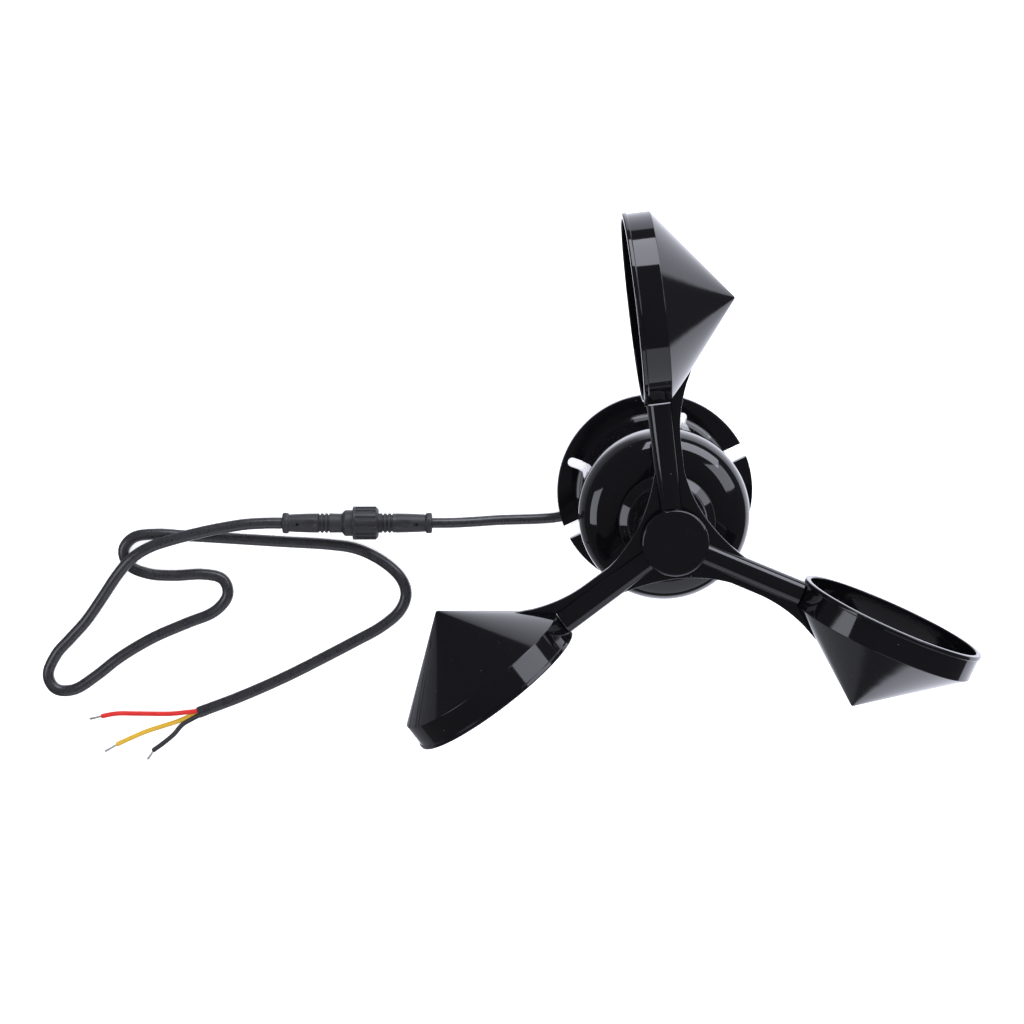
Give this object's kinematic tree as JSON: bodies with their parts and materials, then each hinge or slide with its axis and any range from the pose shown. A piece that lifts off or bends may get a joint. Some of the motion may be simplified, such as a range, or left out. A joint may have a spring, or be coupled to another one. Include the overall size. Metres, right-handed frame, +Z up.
{
  "type": "cup anemometer",
  "caption": "Cup wheel with conical cups on thin arms, turning on a domed round housing with a slotted flange, and a cable with an in-line connector and bare cores.",
  "frame": {"origin": "centre of the base's underside, on the wheel's axis", "axes": "+Z up along the wheel's axis; the cable leaves towards -X; the open flange notches are at +X and -X"},
  "size_m": [0.2912, 0.1738, 0.1354],
  "materials": {
    "gloss_black": "glossy moulded plastic",
    "satin_black": "satin moulded plastic",
    "rubber_black": "matte",
    "jacket_black": "satin cable jacket",
    "core_red": "satin insulation",
    "core_yellow": "satin insulation",
    "core_black": "satin insulation",
    "tinned_copper": "tinned strands",
    "steel": "ground steel",
    "brass_pin": "machined",
    "magnet_nickel": "nickel plated",
    "white_plastic": "moulded",
    "board_green": "solder mask",
    "component_black": "moulded"
  },
  "bodies": {
    "housing": {"upper_housing": "gloss_black", "lower_housing": "gloss_black", "bottom_cover": "gloss_black", "housing_seal": "rubber_black", "cable_grommet": "rubber_black", "cable_tie": "satin_black", "connector_seal": "rubber_black", "plug_half": "satin_black", "socket_half": "satin_black", "contact_pin_1": "brass_pin", "contact_pin_2": "brass_pin", "contact_pin_3": "brass_pin", "sensor_cable": "jacket_black", "extension_cable": "jacket_black", "core_red": "core_red", "core_yellow": "core_yellow", "core_black": "core_black", "wire_tip_red": "tinned_copper", "wire_tip_yellow": "tinned_copper", "wire_tip_black": "tinned_copper", "bearing_outer_upper": "steel", "bearing_outer_lower": "steel", "circuit_board": "board_green", "hall_sensor": "component_black", "voltage_regulator": "component_black", "capacitor": "satin_black", "board_socket": "white_plastic", "cover_screw_1": "steel", "board_screw_1": "steel", "cover_screw_2": "steel", "board_screw_2": "steel", "cover_screw_3": "steel", "board_screw_3": "steel"},
    "rotor": {"rotor_spider": "gloss_black", "cup_1": "gloss_black", "cup_2": "gloss_black", "cup_3": "gloss_black", "hub_cap": "gloss_black", "rotor_screw": "steel", "spring_washer": "steel", "shaft": "steel", "shaft_spacer": "brass_pin", "shaft_circlip": "steel", "bearing_inner_upper": "steel", "bearing_inner_lower": "steel", "magnet_carrier": "white_plastic", "magnet_1": "magnet_nickel", "magnet_2": "magnet_nickel"},
    "upper_cage": {"ball_cage_upper": "brass_pin"},
    "lower_cage": {"ball_cage_lower": "brass_pin"},
    "nut": {"coupling_nut": "satin_black"}
  },
  "joints": [
    {"name": "rotor_spin", "type": "hinge", "parent": "housing", "child": "rotor", "pos_m": [0, 0, 0.1062], "axis": [0, 0, 1], "continuous": true},
    {"name": "upper_cage_spin", "type": "hinge", "parent": "housing", "child": "upper_cage", "pos_m": [0, 0, 0.0875], "axis": [0, 0, 1], "continuous": true},
    {"name": "lower_cage_spin", "type": "hinge", "parent": "housing", "child": "lower_cage", "pos_m": [0, 0, 0.0535], "axis": [0, 0, 1], "continuous": true},
    {"name": "nut_turn", "type": "hinge", "parent": "housing", "child": "nut", "pos_m": [-0.0744, 0.0224, 0.0059], "axis": [-0.9026, 0.4305, 0], "continuous": true}
  ],
  "couplings": [
    {"joint": "upper_cage_spin", "follows": "rotor_spin", "ratio": 0.403},
    {"joint": "lower_cage_spin", "follows": "rotor_spin", "ratio": 0.403}
  ]
}
